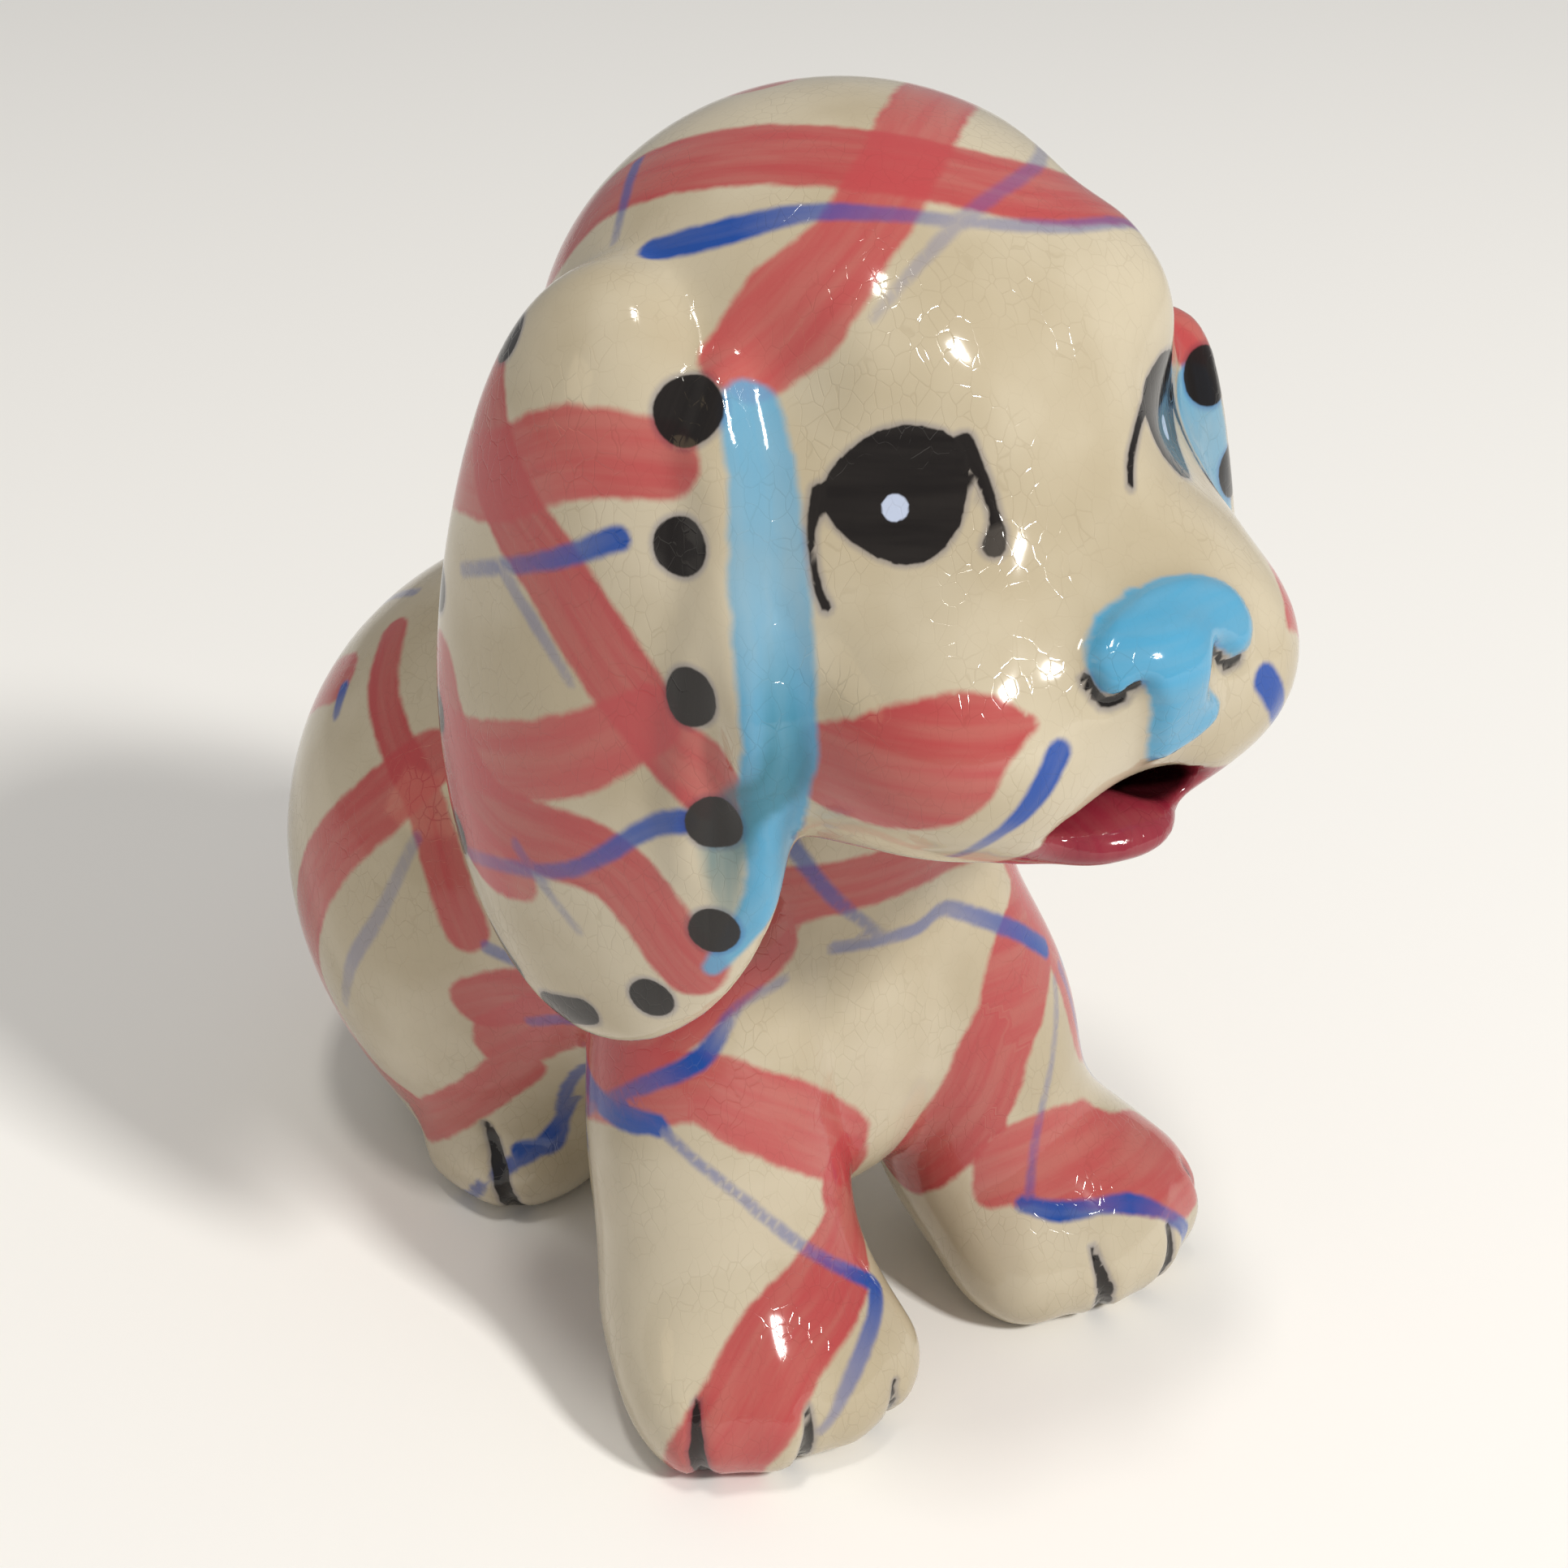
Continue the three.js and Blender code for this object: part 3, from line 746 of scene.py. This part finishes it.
def paint_chest(work):
    work.brush("pink_a", [chest(-20, 67), chest(-7, 68), chest(8, 68), chest(18, 66)], 6.5)
    work.brush("blue", [chest(-8, 60), chest(3, 59), chest(9, 59), leg(LEFT, -34, 48)],
               [1.4, 1.6, 1.8, 2.4], [0.5, 0.6, 0.6, 1])
    work.brush("blue", [chest(-14, 78), chest(-9, 68), chest(-2, 60)], [2, 1.6, 1], [0.8, 0.7, 0.4])


def paint_back(work):
    work.brush("pink_a", [rump(150, 70), rump(165, 45), rump(175, 20), rump(180, -5), rump(-175, -30)], 8)
    work.brush("pink_b", [rump(100, 45), rump(130, 30), rump(160, 5), rump(-170, -12), rump(-140, -28)], 8)
    work.brush("pink_b", [rump(-110, 40), rump(-135, 20), rump(-160, -2), rump(170, -30)], 7)
    work.brush("blue", [rump(-120, 60), rump(-150, 35), rump(-170, 10), rump(175, -10)],
               [1.4, 1.8, 2, 2.6], [0.5, 0.6, 0.8, 1])
    work.brush("blue", [rump(120, 20), rump(150, 22), rump(180, 30), rump(-150, 45)],
               [2.6, 1.8, 1.4, 1.2], [1, 0.7, 0.5, 0.4])


def body_paint():
    """All the paint on the body and legs."""
    work = Paintwork()
    for side in (RIGHT, LEFT):
        paint_haunch(work, side)
    paint_right_leg(work)
    paint_left_leg(work)
    paint_chest(work)
    paint_back(work)
    return work


# ---- Materials -------------------------------------------------------------------------------------
# Sizes of the patterns, in millimetres.
CREAM_DRIFT = 22  # from warmer to paler cream
BRUSH_WOBBLE = 2.2  # along the edges of the paint
BRISTLE_WIDTH, BRISTLE_LENGTH = 2, 20
CRAZING = 1.5  # across its cells, which are drawn out upwards
CRAZING_BEND = 3.0
CRAZING_FADE = 9.0  # from where it shows to where it hardly does
CRAZING_DEPTH = 0.03
RIPPLE, RIPPLE_DEPTH = 7.0, 0.06  # the soft waviness of the glaze
VINYL_CLOUD = 6
VINYL_GRAIN, VINYL_GRAIN_DEPTH = 0.35, 0.05
SMOOTH = {"interpolation_type": "SMOOTHSTEP"}
COLOURS = {"data_type": "RGBA"}


def linear(code):
    """An sRGB hex colour, turned to linear."""
    parts = [int(code[i : i + 2], 16) / 255 for i in (1, 3, 5)]
    return tuple(c / 12.92 if c <= 0.04045 else ((c + 0.055) / 1.055) ** 2.4 for c in parts) + (1.0,)


def add_node(material, kind, inputs=(), **settings):
    """Adds a node with its settings, and links or sets its inputs. A node stands for its first output."""
    node = material.node_tree.nodes.new("ShaderNode" + kind)
    for key, value in settings.items():
        setattr(node, key, value)
    for key, value in dict(inputs).items():
        if isinstance(value, bpy.types.Node):
            value = value.outputs[0]
        if isinstance(value, bpy.types.NodeSocket):
            material.node_tree.links.new(value, node.inputs[key])
        else:
            node.inputs[key].default_value = value
    return node


def new_material(name):
    material = bpy.data.materials.new(name)
    material.use_nodes = True
    material.node_tree.nodes.clear()
    return material


def brushed_on(m, colour, wobble, paint):
    """A glaze's colour with one paint over it, as it was stored on the vertices."""
    tint, strength, spread, soft, ragged, thinnest = PAINTS[paint]
    stored = add_node(m, "Attribute", attribute_name=paint)
    edge, across, along = add_node(m, "SeparateXYZ", {0: stored.outputs["Vector"]}).outputs
    torn = add_node(m, "Math", {0: wobble, 1: ragged}, operation="MULTIPLY")
    edge = add_node(m, "Math", {0: edge, 1: torn}, operation="ADD")
    across = add_node(m, "Math", {0: across, 1: 1 / BRISTLE_WIDTH}, operation="MULTIPLY")
    along = add_node(m, "Math", {0: along, 1: 1 / BRISTLE_LENGTH}, operation="MULTIPLY")
    bristles = add_node(m, "CombineXYZ", {0: across, 1: along})
    bristles = add_node(m, "TexNoise", {"Vector": bristles, "Scale": 1.0, "Detail": 3.0})
    streaks = add_node(m, "MapRange", {0: bristles, 1: 0.3, 2: 0.7, 3: thinnest * strength, 4: strength},
                       **SMOOTH)
    if paint == "black":  # a little blue bleeds into the glaze round it
        bleed = add_node(m, "MapRange", {0: edge, 1: 0.8, 2: 0.0, 3: 0.0, 4: 0.5}, **SMOOTH)
        colour = add_node(m, "Mix", {0: bleed, 6: colour, 7: linear("#97A0D6")}, blend_type="MULTIPLY",
                          **COLOURS).outputs[2]
    cover = add_node(m, "MapRange", {0: edge, 1: spread + soft, 2: spread - soft}, **SMOOTH)
    cover = add_node(m, "Math", {0: cover, 1: stored.outputs["Alpha"]}, operation="MULTIPLY")
    cover = add_node(m, "Math", {0: cover, 1: streaks}, operation="MULTIPLY", use_clamp=True)
    return add_node(m, "Mix", {0: cover, 6: colour, 7: linear(tint)}, **COLOURS).outputs[2]


def glazed_earthenware():
    """Slip-cast earthenware, painted by hand under a clear glaze that has crazed with age.

    The glaze is glassy, and makes the clay under it a warm cream.
    """
    m = new_material("painted_glazed_earthenware")
    coords = add_node(m, "TexCoord").outputs["Object"]
    mm = add_node(m, "VectorMath", {0: coords, "Scale": 1 / MM}, operation="SCALE")

    # The cream drifts in tone at random. It is darker and greener in the hollows, partly glaze that pools
    # there and partly painted shade.
    drift = add_node(m, "TexNoise", {"Vector": mm, "Scale": 1 / CREAM_DRIFT, "Detail": 3.0})
    drift = add_node(m, "MapRange", {0: drift, 1: 0.35, 2: 0.65}, **SMOOTH)
    colour = add_node(m, "Mix", {0: drift, 6: linear("#B5A88E"), 7: linear("#C6BBA4")}, **COLOURS)
    hollow_pooling_and_shade = add_node(m, "Attribute", attribute_name="hollow_pooling_and_shade").outputs["Fac"]
    hollow_pooling_and_shade = add_node(m, "MapRange", {0: hollow_pooling_and_shade, 1: 0.1, 2: 1.4, 3: 0.0, 4: 0.55}, **SMOOTH)
    colour = add_node(m, "Mix", {0: hollow_pooling_and_shade, 6: colour.outputs[2], 7: linear("#877A52")}, **COLOURS)
    colour = colour.outputs[2]
    wobble = add_node(m, "TexNoise", {"Vector": mm, "Scale": 1 / BRUSH_WOBBLE, "Detail": 3.0})
    wobble = add_node(m, "Math", {0: wobble, 1: 0.5}, operation="SUBTRACT")
    for paint in PAINTS:
        colour = brushed_on(m, colour, wobble, paint)

    # Crazing: hairlines a couple of millimetres apart, drawn wider than they are so that they show.
    bend = add_node(m, "TexNoise", {"Vector": mm, "Scale": 1 / CRAZING_BEND})
    bent = add_node(m, "VectorMath", {0: mm, 1: bend.outputs[1]}, operation="ADD")
    bent = add_node(m, "VectorMath", {0: bent, 1: (1.0, 1.0, 0.6)}, operation="MULTIPLY")
    cracks = add_node(m, "TexVoronoi", {"Vector": bent, "Scale": 1 / CRAZING}, feature="DISTANCE_TO_EDGE")
    cracks = add_node(m, "MapRange", {0: cracks, 1: 0.05, 2: 0.0}, **SMOOTH)
    fade = add_node(m, "TexNoise", {"Vector": mm, "Scale": 1 / CRAZING_FADE})
    fade = add_node(m, "MapRange", {0: fade, 1: 0.4, 2: 0.6, 3: 0.25, 4: 1.0}, **SMOOTH)
    cracks = add_node(m, "Math", {0: cracks, 1: fade}, operation="MULTIPLY")
    stain = add_node(m, "Math", {0: cracks, 1: 0.13}, operation="MULTIPLY")
    colour = add_node(m, "Mix", {0: stain, 6: colour, 7: linear("#A89878")}, blend_type="MULTIPLY", **COLOURS)

    ripple = add_node(m, "TexNoise", {"Vector": mm, "Scale": 1 / RIPPLE, "Detail": 1.0})
    bump = add_node(m, "Bump", {"Strength": 1.0, "Distance": RIPPLE_DEPTH * MM, "Height": ripple})
    bump = add_node(m, "Bump", {"Strength": 0.5, "Distance": CRAZING_DEPTH * MM, "Height": cracks,
                                "Normal": bump}, invert=True)
    shader = add_node(m, "BsdfPrincipled", {
        "Base Color": colour.outputs[2], "Roughness": 0.09, "IOR": 1.5, "Normal": bump,
    })
    add_node(m, "OutputMaterial", {0: shader})
    return m


def soft_vinyl():
    """Moulded soft vinyl, matt, with a fine grain from its mould and cloudy in tone."""
    m = new_material("moulded_soft_vinyl")
    coords = add_node(m, "TexCoord").outputs["Object"]
    mm = add_node(m, "VectorMath", {0: coords, "Scale": 1 / MM}, operation="SCALE")
    cloud = add_node(m, "TexNoise", {"Vector": mm, "Scale": 1 / VINYL_CLOUD, "Detail": 3.0})
    colour = add_node(m, "Mix", {0: cloud, 6: linear("#CFC8B6"), 7: linear("#DAD5C6")}, **COLOURS)
    grain = add_node(m, "TexNoise", {"Vector": mm, "Scale": 1 / VINYL_GRAIN, "Detail": 2.0})
    bump = add_node(m, "Bump", {"Strength": 0.35, "Distance": VINYL_GRAIN_DEPTH * MM, "Height": grain})
    shader = add_node(m, "BsdfPrincipled", {
        "Base Color": colour.outputs[2], "Roughness": 0.55, "IOR": 1.53, "Normal": bump,
    })
    add_node(m, "OutputMaterial", {0: shader})
    return m


# ---- The pieces ------------------------------------------------------------------------------------
GLAZED = glazed_earthenware()


def finish_casting(piece, surface, work, nodes):
    """Settles the paint on a sculpted piece, gives it its glaze and puts it on the bank."""
    settle_all(surface, [stroke for strokes in work.layers.values() for stroke in strokes])
    for paint, strokes in work.layers.items():
        store_paint(surface, paint, strokes)
    # How deep each vertex lies in a hollow, which darkens the glaze there as pooled glaze and painted shade.
    hollow_pooling_and_shade = surface.mesh.attributes.new("hollow_pooling_and_shade", "FLOAT", "POINT")
    hollow_pooling_and_shade.data.foreach_set("value", surface.hollowness(HOLLOW_PASSES).astype(np.float32))
    surface.mesh.materials.append(GLAZED)
    surface.mesh.polygons.foreach_set("use_smooth", np.ones(len(surface.mesh.polygons), bool))
    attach(piece, "bank")
    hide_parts(*nodes)


puppy_head = fine_surface("puppy_head", HEAD_NODES, HEAD_NODES[1:], head_coils(), HEAD_GRID)
head_surface = Surface(puppy_head)
sculpt_head(head_surface)
finish_casting(puppy_head, head_surface, head_paint(), HEAD_NODES)

puppy_body = fine_surface("puppy_body", BODY_NODES, BODY_NODES[1:], body_coils(), BODY_GRID)
body_surface = Surface(puppy_body)
sculpt_body(body_surface)
finish_casting(puppy_body, body_surface, body_paint(), BODY_NODES)

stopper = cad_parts["stopper"]
stopper.data.materials.clear()
stopper.data.materials.append(soft_vinyl())


# ---- Floor, light and camera ---------------------------------------------------------------------
FLOOR_RADIUS = 1.5  # in metres, as the lights' distances and sizes are
# Each light: turn and rise, distance, size, power and colour.
LIGHTS = {
    "key_window": (12, 40, 1.8, (0.2, 0.24), 23, "#FFFCF6"),
    "overhead": (-45, 78, 1.8, (0.16, 0.3), 7, "#FFFAF0"),
    "side_fill": (-100, 20, 1.8, (0.5, 0.5), 0.8, "#FFE2B0"),
}
SKY_STRENGTH = 0.34
CAMERA_TURN, CAMERA_RISE = -35, 30
CAMERA_DISTANCE = 321.5  # in millimetres, as are the next four
CAMERA_RIGHT, CAMERA_DOWN = 6.3, 11.5  # from the middle of the puppy to what the camera aims at
SENSOR_WIDTH, LENS = 36, 62.05


def lay_floor():
    """A plain pale floor."""
    disc = bmesh.new()
    bmesh.ops.create_circle(disc, cap_ends=True, segments=96, radius=FLOOR_RADIUS)
    data = bpy.data.meshes.new("floor")
    disc.to_mesh(data)
    disc.free()
    floor = bpy.data.objects.new("floor", data)
    bpy.context.scene.collection.objects.link(floor)
    paper = new_material("matt_white_paper")
    shader = add_node(paper, "BsdfPrincipled", {"Base Color": linear("#FBFAF8"), "Roughness": 0.9})
    add_node(paper, "OutputMaterial", {0: shader})
    data.materials.append(paper)


def hang_lights(centre):
    """Soft window lights and an even sky."""
    for name, (turn, rise, distance, size, power, colour) in LIGHTS.items():
        light = bpy.data.lights.new(name, "AREA")
        light.shape = "RECTANGLE"
        light.size, light.size_y = size
        light.energy = power
        light.color = linear(colour)[:3]
        lamp = bpy.data.objects.new(name, light)
        way = Vector(sphere_way(turn, rise))
        lamp.location = centre + way * distance
        lamp.rotation_euler = way.to_track_quat("Z", "Y").to_euler()
        bpy.context.scene.collection.objects.link(lamp)
    sky = bpy.data.worlds.new("studio")
    bpy.context.scene.world = sky
    sky.use_nodes = True
    sky.node_tree.nodes["Background"].inputs[0].default_value = linear("#FFFFFF")
    sky.node_tree.nodes["Background"].inputs[1].default_value = SKY_STRENGTH


def set_camera(centre):
    camera = bpy.data.cameras.new("camera")
    camera.sensor_width = SENSOR_WIDTH
    camera.lens = LENS
    camera.clip_start = 0.01
    back = Vector(sphere_way(CAMERA_TURN, CAMERA_RISE))
    turn = math.radians(CAMERA_TURN)
    right = Vector((math.cos(turn), math.sin(turn), 0))
    up = back.cross(right)
    aim = centre + (right * CAMERA_RIGHT - up * CAMERA_DOWN) * MM
    viewer = bpy.data.objects.new("camera", camera)
    viewer.location = aim + back * CAMERA_DISTANCE * MM
    viewer.rotation_euler = Matrix((right, up, back)).transposed().to_euler()
    bpy.context.scene.collection.objects.link(viewer)
    bpy.context.scene.camera = viewer
    bpy.context.scene.view_settings.view_transform = "Standard"


middle = (cad_box[0] + cad_box[1]) / 2
lay_floor()
hang_lights(middle)
set_camera(middle)
